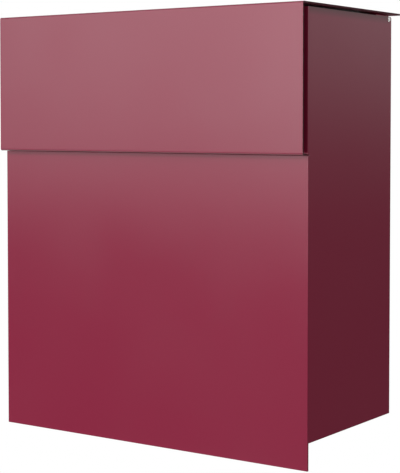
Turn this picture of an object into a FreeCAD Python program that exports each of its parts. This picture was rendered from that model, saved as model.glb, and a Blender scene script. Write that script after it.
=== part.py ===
import FreeCAD, Part
import os
import re
import Sketcher

# Wall mounted post box: a folded sheet metal case that stands off the wall on four spacers, a lid that
# lifts at a rear hinge and carries a deep skirt, a door that swings down at a hidden bottom hinge, and a
# cam lock behind the skirt. Lengths are in millimetres.
#
# The shared frame has its origin on the wall, at the centre of the four wall holes: X to the right, Y into
# the wall, Z up. Pieces are drawn from a front datum: x at the middle, y from the plane of the door's front
# face, z from the door's bottom edge. Each piece's placement carries it from there into the shared frame.

SIZES = {
    # sheet metal
    "sheet": 1.5,
    "bend": 0.3,
    "seam": 0.1,
    "flange": 12,
    # case
    "body_width": 319,
    "body_depth": 144.2,
    "body_height": 346.8,
    "drain_radius": 2.5,
    "drain_inset": 22,
    # wall holes and the spacers behind them
    "hole_inset_across": 49.5,
    "hole_inset_up": 43.4,
    "hole_radius": 3.5,
    "spacer_radius": 8,
    "spacer_length": 18,
    # lid
    "lid_overlap": 0.5,
    "lid_gap": 2.3,
    "lid_front": 8.5,
    "lid_rear": 15,
    "skirt_height": 120.9,
    "skirt_return": 5.5,
    # lid hinge
    "lid_pin_radius": 1.5,
    "lid_pin_inset": 6,
    "lid_pin_drop": 2.25,
    "lid_pin_cap_radius": 2.1,
    "lid_pin_cap": 0.6,
    "lid_pin_head_radius": 3,
    "lid_pin_head": 1.2,
    "ear_nose": 3.5,
    "ear_length": 20,
    "ear_foot": 16,
    "ear_gap": 0.6,
    "ear_heel": 2,
    "notch_width": 5.5,
    "swing_gap": 1,
    "back_drop": 0.6,
    "corner_reach": 3.6,
    # front header, inner roof and letter guard
    "header_gap": 0.8,
    "header_depth": 14,
    "header_sill": 12,
    "header_lip": 8,
    "header_relief": 3.5,
    "cheek_width": 4.2,
    "cheek_root": 3,
    "bracket_leg": 12,
    "bracket_inset": 9,
    "slot_height": 35,
    "roof_drop": 0.2,
    "roof_lip": 6,
    "roof_set_back": 3,
    "guard_inset": 8,
    "guard_place": 97,
    "guard_flange": 14,
    "guard_run": 32,
    "guard_drop": 54,
    "guard_rivet_near": 37.5,
    "guard_rivet_inset": 30,
    "buffer_radius": 4,
    "buffer_inset": 38,
    "buffer_set_back": 14,
    "buffer_gap": 0.3,
    # door
    "door_overlap": 0.5,
    "door_sheet": 2,
    "door_round": 0.3,
    "door_drop": 22.1,
    "door_gap": 0.3,
    "door_play": 0.5,
    "tray_play": 0.5,
    "rail_depth": 15,
    "rail_drop": 0.5,
    "rail_inset": 8,
    "rail_leg": 14,
    "rail_lip": 12,
    "stile_gap": 3.5,
    "stile_leg": 12.5,
    "stile_gap_above": 2,
    "catcher_inset": 20,
    "catcher_depth": 38,
    "catcher_rise": 70,
    "catcher_leg": 20,
    "catcher_hem": 6,
    "catcher_gap": 4,
    # door hinge
    "plate": 2,
    "door_pin_radius": 1.5,
    "door_pin_head_radius": 2.6,
    "door_pin_head": 1,
    "door_pin_end": 1,
    "hinge_inset": 40,
    "hinge_nose": 3.5,
    "hinge_slack": 0.5,
    "hinge_side_gap": 0.5,
    "foot_width": 26,
    "foot_rear": 26,
    "foot_front": 10,
    "foot_rivet_near": 9,
    "foot_rivet_far": 21,
    "lug_width": 17.5,
    "lug_reach": 9.8,
    "lug_web": 1,
    # rivets
    "rivet_radius": 1.6,
    "rivet_head_radius": 3,
    "rivet_head": 0.8,
    "rivet_dome": 0.5,
    # cam lock
    "lock_radius": 8,
    "lock_rim_radius": 9.5,
    "lock_rim": 1.8,
    "lock_chamfer": 0.5,
    "lock_length": 14,
    "lock_rise": 29,
    "plug_radius": 5.5,
    "plug_proud": 0.5,
    "plug_stub": 6,
    "key_slot": 1.4,
    "key_width": 6.5,
    "key_depth": 8,
    "cam_gap": 0.5,
    "cam_plate": 2,
    "cam_width": 14,
    "cam_heel": 8,
    "cam_reach": 37,
    "cam_round": 5,
    "nut_flats": 20,
    "nut_height": 3,
    "screw_radius": 1.9,
    "screw_length": 6,
    "screw_head_radius": 3.8,
    "screw_head": 2,
    # fits
    "run_fit": 0.05,
    "close_fit": 0.02,
    "plug_fit": 0.1,
    "lock_fit": 0.1,
    "chamfer": 0.4,
    # how far a cutting shape runs past the metal it cuts
    "past": 1,
}

# Places that several pieces share, worked out from the sizes.
PLACES = {
    "body_half": "body_width / 2",
    "wall_inner": "body_half - sheet",
    "back_inner": "body_depth - sheet",
    "nest_half": "wall_inner - seam",
    "nest_rear": "back_inner - seam",
    "body_top": "door_drop + body_height",
    "lid_under": "body_top + lid_gap",
    "lid_top": "lid_under + sheet",
    "lid_half": "body_half + lid_overlap",
    "skirt_foot": "lid_top - skirt_height",
    "door_half": "body_half + door_overlap",
    "door_top": "skirt_foot - door_gap",
    "door_back": "door_sheet + seam",
    "wall_front": "door_sheet + door_play",
    "header_foot": "door_top + header_gap",
    "roof_top": "body_top - roof_drop",
    "header_top": "roof_top - roof_lip - slot_height",
    "header_back": "sheet + seam",
    "wall_y": "body_depth + spacer_length",
    "holes_z": "door_drop + body_height / 2",
    "hole_across": "body_half - hole_inset_across",
    "hole_up": "body_height / 2 - hole_inset_up",
    "pin_y": "body_depth - lid_pin_inset",
    "pin_z": "body_top - lid_pin_drop",
    "back_top": "pin_z - back_drop",
    "ear_outer": "wall_inner - ear_gap",
    "ear_inner": "ear_outer - sheet",
    "notch_inner": "wall_inner - notch_width",
    "hinge_y": "door_sheet + hinge_slack + hinge_nose",
    "hinge_z": "door_drop - plate - hinge_slack - hinge_nose",
    "hinge_place": "wall_inner - hinge_inset",
    "ear_plate_inner": "hinge_place - plate",
    "lug_outer": "ear_plate_inner - hinge_side_gap",
    "tray_front": "wall_front + tray_play",
    "rail_top": "door_top - rail_drop",
    "rail_half": "wall_inner - rail_inset",
    "catcher_z": "door_drop + flange + catcher_gap",
    "catcher_half": "wall_inner - catcher_inset",
    "stile_outer": "wall_inner - stile_gap",
    "lock_z": "header_foot + lock_rise",
    "cam_y": "rail_depth + cam_gap",
    "stack": "plate + sheet",
    "rivet_y": "(foot_front + foot_rear) / 2",
    "guard_half": "wall_inner - guard_inset",
    "guard_rivet_far": "guard_half - guard_rivet_inset",
    "guard_rivet_y": "guard_place - guard_flange / 2",
    "guard_top": "roof_top - sheet - seam",
}

# For each sketch plane: the two axes drawn on it, the axis across it, and which way its normal points.
PLANES = {"XY": (0, 1, 2, 1), "XZ": (0, 2, 1, -1), "YZ": (1, 2, 0, 1)}

# A sketch counts its own axis across as -1, with the origin as that axis's point 1, and its axis up as -2.
# A line's ends are its points 1 and 2, and a circle's centre is point 3.

# How near two lengths lie that count as the same.
MATCH = 1e-4
FULL_TURN = 360
NUT_SIDES = 6

doc = FreeCAD.newDocument("WallPostBox")
sizes = doc.addObject("Spreadsheet::Sheet", "Sizes")
sub_parts = []


def fill_sheet():
    """Writes every driving dimension into the sheet under its own alias."""
    for row, (alias, size) in enumerate(SIZES.items(), 1):
        sizes.set(f"A{row}", alias)
        sizes.set(f"B{row}", str(size))
        sizes.setAlias(f"B{row}", alias)
    doc.recompute()


def bound(text):
    """Writes shared places out in full and points each size at its cell in the sheet."""

    def written(match):
        word = match.group()
        if word in PLACES:
            return f"({bound(PLACES[word])})"
        return f"Sizes.{word}" if word in SIZES else word

    return re.sub(r"[a-z]\w*", written, text)


def number(text):
    """The value that an expression has now."""
    return float(sizes.evalExpression(bound(text)))


def tie(item, property_path, text):
    """Binds a property to an expression of sizes and places."""
    item.setExpression(property_path, bound(text))


def set_down(piece, across, deep, up):
    """Places a piece that is drawn about a point of the front datum into the shared frame."""
    tie(piece, "Placement.Base.x", across)
    tie(piece, "Placement.Base.y", f"{deep} - wall_y")
    tie(piece, "Placement.Base.z", f"{up} - holes_z")


def name_sub_part(piece, label):
    """Gives a finished piece its own name and puts it on the list that is written out."""
    piece.Label = label
    sub_parts.append(piece)


def start_body(label, across="0", deep="0", up="0"):
    """Starts a body with its origin at a point of the front datum."""
    body = doc.addObject("PartDesign::Body", f"{label}_body")
    set_down(body, across, deep, up)
    return body


def start_sketch(body, title, plane, level):
    """Opens a sketch parallel to one of the body's own planes, at a level along that plane's normal."""
    sketch = body.newObject("Sketcher::SketchObject", f"{body.Name}_{title}")
    support = [item for item in body.Origin.OriginFeatures if item.Role == f"{plane}_Plane"][0]
    sketch.AttachmentSupport = [(support, "")]
    sketch.MapMode = "FlatFace"
    tie(sketch, "AttachmentOffset.Base.z", level)
    return sketch


def fix_point(sketch, geometry, end, across, up):
    """Holds one point of a sketch at the place that two expressions give."""
    for kind, text, axis in (("DistanceX", across, -2), ("DistanceY", up, -1)):
        if text == "0":
            sketch.addConstraint(Sketcher.Constraint("PointOnObject", geometry, end, axis))
            continue
        held = Sketcher.Constraint(kind, -1, 1, geometry, end, number(text))
        tie(sketch, f"Constraints[{sketch.addConstraint(held)}]", text)


def draw_circle(sketch, across, up, radius):
    """Draws a circle with its centre and radius bound."""
    centre = FreeCAD.Vector(number(across), number(up), 0)
    made = sketch.addGeometry(Part.Circle(centre, FreeCAD.Vector(0, 0, 1), number(radius)))
    fix_point(sketch, made, 3, across, up)
    held = sketch.addConstraint(Sketcher.Constraint("Radius", made, number(radius)))
    tie(sketch, f"Constraints[{held}]", radius)


def draw_outline(sketch, corners):
    """Draws a closed outline with straight sides from corner to corner."""
    spots = [FreeCAD.Vector(number(across), number(up), 0) for across, up in corners]
    sides = [sketch.addGeometry(Part.LineSegment(*ends)) for ends in zip(spots, spots[1:] + spots[:1])]
    for side, following, (across, up) in zip(sides, sides[1:] + sides[:1], corners):
        sketch.addConstraint(Sketcher.Constraint("Coincident", side, 2, following, 1))
        fix_point(sketch, side, 1, across, up)


def rectangle(low_across, low_up, high_across, high_up):
    """The four corners of a rectangle."""
    return [(low_across, low_up), (high_across, low_up), (high_across, high_up), (low_across, high_up)]


def both_sides(corners):
    """An outline and its mirror image across the middle of the box."""
    return [corners, [(f"-({corner[0]})", corner[1]) for corner in corners]]


def draw(sketch, outlines, circles):
    """Draws the outlines and circles of one sketch."""
    for corners in outlines:
        draw_outline(sketch, corners)
    for circle in circles:
        draw_circle(sketch, *circle)


def pad(body, title, plane, low, high, outlines=(), circles=()):
    """Adds metal with the drawn section from one level to another along the plane's axis."""
    along_axis = PLANES[plane][3] > 0
    sketch = start_sketch(body, title, plane, low if along_axis else f"-({high})")
    draw(sketch, outlines, circles)
    feature = body.newObject("PartDesign::Pad", f"{body.Name}_{title}_pad")
    feature.Profile = sketch
    tie(feature, "Length", f"({high}) - ({low})")
    doc.recompute()
    return feature


def cut(body, title, plane, low, high, outlines=(), circles=()):
    """Takes metal away inside the drawn section between two levels, and makes sure that some went."""
    before = body.Shape.Volume
    along_axis = PLANES[plane][3] > 0
    sketch = start_sketch(body, title, plane, high if along_axis else f"-({low})")
    draw(sketch, outlines, circles)
    feature = body.newObject("PartDesign::Pocket", f"{body.Name}_{title}_cut")
    feature.Profile = sketch
    tie(feature, "Length", f"({high}) - ({low})")
    doc.recompute()
    if not body.Shape.Volume < before:
        raise RuntimeError(f"{feature.Name} removed nothing")


def edges_across(feature, plane, spots):
    """Names of the straight edges that stand square on a plane at the given spots."""
    first, second, axis, _ = PLANES[plane]
    places = [(number(across), number(up)) for across, up in spots]
    names = []
    for index, edge in enumerate(feature.Shape.Edges, 1):
        start, end = edge.firstVertex().Point, edge.lastVertex().Point
        run = end - start
        if abs(run[first]) > MATCH or abs(run[second]) > MATCH or abs(run[axis]) < MATCH:
            continue
        if any(abs(start[first] - a) < MATCH and abs(start[second] - u) < MATCH for a, u in places):
            names.append(f"Edge{index}")
    return names


def round_edges(body, title, names, radius):
    """Rounds the named edges of the body's last feature."""
    base = body.Tip
    feature = body.newObject("PartDesign::Fillet", f"{body.Name}_{title}")
    feature.Base = (base, names)
    tie(feature, "Radius", radius)
    doc.recompute()


def offset(text, steps, gauge):
    """An expression moved by one sheet thickness up, down or not at all."""
    return text if steps == 0 else f"{text} {'+' if steps > 0 else '-'} {gauge}"


def fold(body, plane, path, low, high, gauge="sheet"):
    """Pads a strip of bent sheet and rounds its bends.

    The path names the corners of one face. The metal lies to the left of it.
    """
    spots = [(number(across), number(up)) for across, up in path]
    steps = []
    for start, end in zip(spots, spots[1:]):
        run = (end[0] - start[0], end[1] - start[1])
        steps.append(tuple(round(side / max(map(abs, run))) for side in run))
    other_face = []
    for index, (across, up) in enumerate(path):
        before, after = steps[max(index - 1, 0)], steps[min(index, len(steps) - 1)]
        other_face.append(
            (offset(across, -(before[1] or after[1]), gauge), offset(up, before[0] or after[0], gauge))
        )
    pad(body, "fold", plane, low, high, [path + other_face[::-1]])
    round_edges(body, "outer_bends", edges_across(body.Tip, plane, path[1:-1]), f"bend + {gauge}")
    round_edges(body, "inner_bends", edges_across(body.Tip, plane, other_face[1:-1]), "bend")


def hollow(body, open_side):
    """Leaves a shell of sheet thickness, open on the face that lies farthest along Z or against it."""
    base = body.Tip
    farthest = max(open_side * face.CenterOfMass.z for face in base.Shape.Faces)
    names = [
        f"Face{index}"
        for index, face in enumerate(base.Shape.Faces, 1)
        if open_side * face.CenterOfMass.z > farthest - MATCH
    ]
    feature = body.newObject("PartDesign::Thickness", f"{body.Name}_shell")
    feature.Base = (base, names)
    tie(feature, "Value", "sheet")
    feature.Reversed = True
    doc.recompute()


def dish(body, low_up, high_up, front, open_side):
    """A tray folded to fit inside the case walls, with rims on all four sides."""
    corners = rectangle("-nest_half", front, "nest_half", "nest_rear")
    block = pad(body, "block", "XY", low_up, high_up, [corners])
    closed_level = number(low_up) if open_side > 0 else number(high_up)
    names = []
    for index, edge in enumerate(block.Shape.Edges, 1):
        flat = abs(edge.CenterOfMass.z - closed_level) < MATCH
        if flat or abs(edge.firstVertex().Point.z - edge.lastVertex().Point.z) > MATCH:
            names.append(f"Edge{index}")
    round_edges(body, "folds", names, "bend + sheet")
    hollow(body, open_side)


def turn(body, title, corners, axis):
    """Spins a half section about the body's X axis (H_Axis) or Y axis (V_Axis)."""
    sketch = start_sketch(body, title, "XY", "0")
    draw_outline(sketch, corners)
    feature = body.newObject("PartDesign::Revolution", f"{body.Name}_{title}_turn")
    feature.Profile = sketch
    feature.ReferenceAxis = (sketch, [axis])
    feature.Angle = FULL_TURN
    doc.recompute()


def mirror(right_hand, label):
    """The left hand piece that matches a right hand one."""
    piece = doc.addObject("Part::Mirroring", f"{label}_mirror")
    piece.Source = right_hand
    piece.Normal = (1, 0, 0)
    name_sub_part(piece, label)


# Case

def make_body_shell():
    """Back and side walls, folded from one sheet, with the cut-outs that let the lid swing."""
    body = start_body("body_shell")
    wrap = [
        ("body_half", "header_back"),
        ("body_half", "body_depth"),
        ("-body_half", "body_depth"),
        ("-body_half", "header_back"),
    ]
    fold(body, "XY", wrap, "door_drop", "body_top")
    left, right = "-body_half - past", "body_half + past"
    door_side = rectangle("header_back - past", "door_drop - past", "wall_front", "header_foot")
    cut(body, "door_side", "YZ", left, right, [door_side])
    over = "body_top + past"
    notch_foot = "pin_z - ear_nose - swing_gap"
    above_back = [
        ("-wall_inner", notch_foot),
        ("-notch_inner", notch_foot),
        ("-notch_inner", "back_top"),
        ("notch_inner", "back_top"),
        ("notch_inner", notch_foot),
        ("wall_inner", notch_foot),
        ("wall_inner", over),
        ("-wall_inner", over),
    ]
    cut(body, "back_top", "XZ", "back_inner - bend - seam", "body_depth + past", [above_back])
    corner = [
        ("body_depth", "back_top"),
        ("body_depth + past", "back_top"),
        ("body_depth + past", over),
        ("pin_y + corner_reach", over),
        ("pin_y + corner_reach", "body_top"),
    ]
    cut(body, "corner", "YZ", left, right, [corner])
    cut(body, "pin_holes", "YZ", left, right, circles=[("pin_y", "pin_z", "lid_pin_radius + run_fit")])
    wall_holes = [
        (f"{side}hole_across", f"holes_z {row} hole_up", "hole_radius")
        for side in ("-", "")
        for row in ("-", "+")
    ]
    cut(body, "wall_holes", "XZ", "back_inner - past", "body_depth + past", circles=wall_holes)
    name_sub_part(body, "body_shell")


def make_base_tray():
    """Floor of the case: a folded tray with drain holes, and holes for the hinge rivets."""
    body = start_body("base_tray")
    dish(body, "door_drop", "door_drop + flange", "tray_front", 1)
    under, over = "door_drop - past", "door_drop + sheet + past"
    drains = [
        (f"{side}(nest_half - drain_inset)", place, "drain_radius")
        for side in ("-", "")
        for place in ("tray_front + drain_inset", "nest_rear - drain_inset")
    ]
    cut(body, "drains", "XY", under, over, circles=drains)
    rivet_holes = [(across, "rivet_y", "rivet_radius + run_fit") for across in hinge_rivet_places()]
    cut(body, "rivet_holes", "XY", under, over, circles=rivet_holes)
    name_sub_part(body, "base_tray")


def make_front_header():
    """Fixed front panel behind the skirt: it carries the lock, and its top edge is the slot's sill.

    A cheek stands at each end of the sill and covers the front edge of the side wall.
    """
    body = start_body("front_header")
    section = [
        ("header_depth", "header_top - header_lip"),
        ("header_depth", "header_top"),
        ("0", "header_top"),
        ("0", "header_foot"),
        ("header_sill", "header_foot"),
    ]
    fold(body, "YZ", section, "-body_half", "body_half")
    relief = rectangle(
        "wall_inner - header_relief", "header_back - seam", "body_half + past", "header_depth + past"
    )
    cut(body, "end_reliefs", "XY", "header_foot - past", "header_top + past", both_sides(relief))
    cheek = rectangle("body_half - cheek_width", "header_top - cheek_root", "body_half", "body_top")
    pad(body, "cheeks", "XZ", "0", "sheet", both_sides(cheek))
    lock_hole = ("0", "lock_z", "lock_radius + lock_fit")
    cut(body, "lock_hole", "XZ", "-past", "sheet + past", circles=[lock_hole])
    name_sub_part(body, "front_header")


def make_header_brackets():
    """Angle pieces that join the header to the side walls."""
    body = start_body("header_bracket_right")
    section = [
        ("nest_half - bracket_leg", "header_back"),
        ("nest_half", "header_back"),
        ("nest_half", "header_back + bracket_leg"),
    ]
    fold(body, "XY", section, "header_foot + bracket_inset", "header_top - header_lip - seam")
    name_sub_part(body, "header_bracket_right")
    mirror(body, "header_bracket_left")


def guard_rivet_places():
    """Where the guard's rivets sit from side to side."""
    return ["-guard_rivet_far", "-guard_rivet_near", "guard_rivet_near", "guard_rivet_far"]


def make_inner_roof():
    """Fixed roof under the lid: it stiffens the case, tops the letter slot and carries the guard."""
    body = start_body("inner_roof")
    dish(body, "roof_top - flange", "roof_top", "roof_set_back", -1)
    lip_half = "nest_half - sheet - bend"
    lip_cut = rectangle(f"-({lip_half})", "roof_top - flange - past", lip_half, "roof_top - roof_lip")
    cut(body, "front_lip", "XZ", "roof_set_back - past", "roof_set_back + sheet + bend + past", [lip_cut])
    ear_room = rectangle(
        "ear_inner - lid_pin_head - swing_gap",
        "pin_y - ear_length - swing_gap",
        "nest_half + past",
        "nest_rear + past",
    )
    cut(body, "ear_room", "XY", "roof_top - flange - past", "roof_top + past", both_sides(ear_room))
    holes = [(across, "guard_rivet_y", "rivet_radius + run_fit") for across in guard_rivet_places()]
    cut(body, "rivet_holes", "XY", "roof_top - sheet - past", "roof_top + past", circles=holes)
    name_sub_part(body, "inner_roof")


def make_mail_guard():
    """Sloping plate behind the letter slot, which turns letters down and keeps hands out."""
    body = start_body("mail_guard")
    gauge_across = "sheet * sqrt(guard_run ^ 2 + guard_drop ^ 2) / guard_drop"
    inner_bend = f"guard_place - guard_run * sheet / guard_drop - {gauge_across}"
    section = [
        ("guard_place - guard_flange", "guard_top"),
        ("guard_place", "guard_top"),
        ("guard_place - guard_run", "guard_top - guard_drop"),
        (f"guard_place - guard_run - {gauge_across}", "guard_top - guard_drop"),
        (inner_bend, "guard_top - sheet"),
        ("guard_place - guard_flange", "guard_top - sheet"),
    ]
    pad(body, "section", "YZ", "-guard_half", "guard_half", [section])
    round_edges(body, "outer_bend", edges_across(body.Tip, "YZ", [section[1]]), "bend + sheet")
    round_edges(body, "inner_bend", edges_across(body.Tip, "YZ", [section[4]]), "bend")
    holes = [(across, "guard_rivet_y", "rivet_radius + run_fit") for across in guard_rivet_places()]
    cut(body, "rivet_holes", "XY", "guard_top - sheet - past", "guard_top + past", circles=holes)
    name_sub_part(body, "mail_guard")


def make_rivets(label, places, deep, up, grip):
    """A row of set rivets. Each stands on its lower head at one place and holds the given stack."""
    rivets = []
    for index, across in enumerate(places):
        body = start_body(f"{label}_{index}", across, deep, up)
        head = f"({grip}) + rivet_head"
        pad(body, "lower_head", "XY", "-rivet_head", "0", circles=[("0", "0", "rivet_head_radius")])
        pad(body, "shank", "XY", "0", grip, circles=[("0", "0", "rivet_radius")])
        pad(body, "upper_head", "XY", grip, head, circles=[("0", "0", "rivet_head_radius")])
        ends = (-number("rivet_head"), number(head))
        rims = [
            f"Edge{place}"
            for place, edge in enumerate(body.Tip.Shape.Edges, 1)
            if any(abs(edge.CenterOfMass.z - level) < MATCH for level in ends)
        ]
        round_edges(body, "domes", rims, "rivet_dome")
        rivets.append(body)
    group = doc.addObject("Part::Compound", f"{label}_group")
    group.Links = rivets
    name_sub_part(group, label)


def make_wall_spacers():
    """Sleeves on the wall screws, which hold the case clear of the wall so that the lid can swing."""
    for row, rise in (("lower", "-"), ("upper", "+")):
        for side, sign in (("left", "-"), ("right", "")):
            label = f"wall_spacer_{row}_{side}"
            body = start_body(label, f"{sign}hole_across", "body_depth", f"holes_z {rise} hole_up")
            rings = [("0", "0", "spacer_radius"), ("0", "0", "hole_radius")]
            pad(body, "sleeve", "XZ", "0", "spacer_length", circles=rings)
            name_sub_part(body, label)


def make_lid_buffers():
    """Soft discs on the inner roof that the closed lid comes down on."""
    for side, sign in (("left", "-"), ("right", "")):
        across = f"{sign}(wall_inner - buffer_inset)"
        body = start_body(f"lid_buffer_{side}", across, "buffer_set_back", "roof_top")
        height = "lid_gap + roof_drop - buffer_gap"
        pad(body, "disc", "XY", "0", height, circles=[("0", "0", "buffer_radius")])
        name_sub_part(body, f"lid_buffer_{side}")


# Lid

def make_lid_panel():
    """Top plate, skirt and the skirt's safe bottom edge, folded from one sheet."""
    body = start_body("lid_panel")
    section = [
        ("body_depth + lid_rear", "lid_top"),
        ("-lid_front", "lid_top"),
        ("-lid_front", "skirt_foot"),
        ("-lid_front + skirt_return", "skirt_foot"),
    ]
    fold(body, "YZ", section, "-lid_half", "lid_half")
    name_sub_part(body, "lid_panel")


def make_lid_ears():
    """Angle pieces under the lid whose noses turn on the hinge pins."""
    body = start_body("lid_ear_right")
    section = [
        ("ear_outer", "pin_z"),
        ("ear_outer", "lid_under - seam"),
        ("ear_outer - ear_foot", "lid_under - seam"),
    ]
    fold(body, "XZ", section, "pin_y - ear_length", "pin_y + ear_nose")
    heel = rectangle(
        "ear_outer - ear_foot - past", "pin_y - ear_heel", "ear_inner", "pin_y + ear_nose + past"
    )
    cut(body, "heel", "XY", "pin_z - past", "lid_under + past", [heel])
    pad(body, "nose", "YZ", "ear_inner", "ear_outer", circles=[("pin_y", "pin_z", "ear_nose")])
    hole = ("pin_y", "pin_z", "lid_pin_radius + close_fit")
    cut(body, "pin_hole", "YZ", "ear_inner - past", "ear_outer + past", circles=[hole])
    name_sub_part(body, "lid_ear_right")
    mirror(body, "lid_ear_left")


def make_pins(label, start, deep, up, radius, head_radius, head, end, outward, cap=()):
    """Headed hinge pins, right and left. The head sits at x zero and the shank runs in or out.

    A cap, given by its start and its radius, is the end of a pin that is riveted over.
    """
    body = start_body(f"{label}_right", start, deep, up)
    run, back = ("", "-") if outward else ("-", "")
    section = [(f"{back}({head})", "0"), (f"{back}({head})", head_radius), ("0", head_radius), ("0", radius)]
    end_radius = radius
    if cap:
        cap_start, end_radius = cap
        section += [(f"{run}({cap_start})", radius), (f"{run}({cap_start})", end_radius)]
    section += [
        (f"{run}({end} - chamfer)", end_radius),
        (f"{run}({end})", f"{end_radius} - chamfer"),
        (f"{run}({end})", "0"),
    ]
    turn(body, "pin", section, "H_Axis")
    name_sub_part(body, f"{label}_right")
    mirror(body, f"{label}_left")


# Door

def make_door_panel():
    """Flat front plate with its edges slightly broken."""
    body = start_body("door_panel")
    plate = pad(
        body, "plate", "XZ", "0", "door_sheet", [rectangle("-door_half", "0", "door_half", "door_top")]
    )
    front = [
        f"Edge{index}" for index, edge in enumerate(plate.Shape.Edges, 1) if abs(edge.BoundBox.YMax) < MATCH
    ]
    round_edges(body, "front_edges", front, "door_round")
    name_sub_part(body, "door_panel")


def make_door_top_rail():
    """Channel along the door's top edge. The lock's cam turns down behind its lip."""
    body = start_body("door_top_rail")
    section = [
        ("rail_depth", "rail_top - rail_lip"),
        ("rail_depth", "rail_top"),
        ("door_back", "rail_top"),
        ("door_back", "rail_top - rail_leg"),
    ]
    fold(body, "YZ", section, "-rail_half", "rail_half")
    name_sub_part(body, "door_top_rail")


def make_door_stiles():
    """Angles down the sides of the door that keep the plate flat."""
    body = start_body("door_stile_right")
    section = [
        ("stile_outer - stile_leg", "door_back"),
        ("stile_outer", "door_back"),
        ("stile_outer", "rail_depth"),
    ]
    fold(body, "XY", section, "catcher_z", "rail_top - rail_leg - stile_gap_above")
    name_sub_part(body, "door_stile_right")
    mirror(body, "door_stile_left")


def make_letter_catcher():
    """Trough inside the door that holds letters back when the door comes down."""
    body = start_body("letter_catcher")
    section = [
        ("door_back", "catcher_z + catcher_leg"),
        ("door_back", "catcher_z"),
        ("catcher_depth", "catcher_z"),
        ("catcher_depth", "catcher_z + catcher_rise"),
        ("catcher_depth - catcher_hem", "catcher_z + catcher_rise"),
    ]
    fold(body, "YZ", section, "-catcher_half", "catcher_half")
    name_sub_part(body, "letter_catcher")


# Door hinge

def hinge_rivet_places():
    """Where the rivets of both hinge brackets sit from side to side."""
    near, far = "(hinge_place - foot_rivet_near)", "(hinge_place - foot_rivet_far)"
    return [f"-{far}", f"-{near}", near, far]


def make_hinge_brackets():
    """Fixed half of the door hinge: an ear that hangs from a foot riveted under the tray."""
    body = start_body("hinge_bracket_right")
    section = [
        ("hinge_place", "hinge_z"),
        ("hinge_place", "door_drop - seam"),
        ("hinge_place - foot_width", "door_drop - seam"),
    ]
    ear_front = "hinge_y - hinge_nose"
    fold(body, "XZ", section, ear_front, "foot_rear", "plate")
    front = rectangle(
        "hinge_place - foot_width - past", f"{ear_front} - past", "ear_plate_inner", "foot_front"
    )
    cut(body, "front", "XY", "hinge_z - past", "door_drop + past", [front])
    gusset = [
        ("hinge_y + hinge_nose", "hinge_z - past"),
        ("foot_rear + past", "hinge_z - past"),
        ("foot_rear + past", "door_drop - plate - seam"),
        ("foot_rear", "door_drop - plate - seam"),
        ("hinge_y + hinge_nose", "hinge_z"),
    ]
    cut(body, "gusset", "YZ", "ear_plate_inner - past", "hinge_place + past", [gusset])
    pad(body, "nose", "YZ", "ear_plate_inner", "hinge_place", circles=[("hinge_y", "hinge_z", "hinge_nose")])
    hole = ("hinge_y", "hinge_z", "door_pin_radius + run_fit")
    cut(body, "pin_hole", "YZ", "ear_plate_inner - past", "hinge_place + past", circles=[hole])
    near, far = hinge_rivet_places()[2:]
    rivet_holes = [(across, "rivet_y", "rivet_radius + run_fit") for across in (near, far)]
    cut(body, "rivet_holes", "XY", "door_drop - plate - past", "door_drop + past", circles=rivet_holes)
    name_sub_part(body, "hinge_bracket_right")
    mirror(body, "hinge_bracket_left")


def make_door_lugs():
    """Moving half of the door hinge: an ear on a foot that is fixed to the door's inner face."""
    body = start_body("door_lug_right")
    lug_foot = "hinge_z - lug_reach"
    section = [
        ("lug_outer - lug_width", "door_back"),
        ("lug_outer", "door_back"),
        ("lug_outer", "hinge_y"),
    ]
    fold(body, "XY", section, lug_foot, "hinge_z + hinge_nose", "plate")
    web_cut = rectangle(
        "door_back + plate + lug_web - past", f"{lug_foot} - past", "hinge_y + past", "hinge_z - hinge_nose"
    )
    inner = "lug_outer - plate"
    cut(body, "web", "YZ", inner, "lug_outer + past", [web_cut])
    pad(body, "nose", "YZ", inner, "lug_outer", circles=[("hinge_y", "hinge_z", "hinge_nose")])
    hole = ("hinge_y", "hinge_z", "door_pin_radius + close_fit")
    cut(body, "pin_hole", "YZ", f"{inner} - past", "lug_outer + past", circles=[hole])
    name_sub_part(body, "door_lug_right")
    mirror(body, "door_lug_left")


# Cam lock

def make_lock_housing():
    """Threaded barrel of the lock with its front rim."""
    body = start_body("lock_housing", "0", "0", "lock_z")
    bore = "plug_radius + plug_fit"
    section = [
        (bore, "-lock_rim"),
        ("lock_rim_radius - lock_chamfer", "-lock_rim"),
        ("lock_rim_radius", "-lock_rim + lock_chamfer"),
        ("lock_rim_radius", "0"),
        ("lock_radius", "0"),
        ("lock_radius", "lock_length"),
        (bore, "lock_length"),
    ]
    turn(body, "barrel", section, "V_Axis")
    name_sub_part(body, "lock_housing")


def make_lock_nut():
    """Hexagon nut that clamps the barrel to the header."""
    nut = doc.addObject("Part::Prism", "lock_nut_hexagon")
    nut.Polygon = NUT_SIDES
    tie(nut, "Circumradius", "nut_flats / sqrt(3)")
    bore = doc.addObject("Part::Cylinder", "lock_nut_bore")
    tie(bore, "Radius", "lock_radius + run_fit")
    for solid in (nut, bore):
        tie(solid, "Height", "nut_height")
    ring = doc.addObject("Part::Cut", "lock_nut_ring")
    ring.Base, ring.Tool = nut, bore
    lying = FreeCAD.Rotation(FreeCAD.Vector(1, 0, 0), -90)
    ring.Placement = FreeCAD.Placement(FreeCAD.Vector(), lying)
    set_down(ring, "0", "header_back", "lock_z")
    name_sub_part(ring, "lock_nut")


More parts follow.
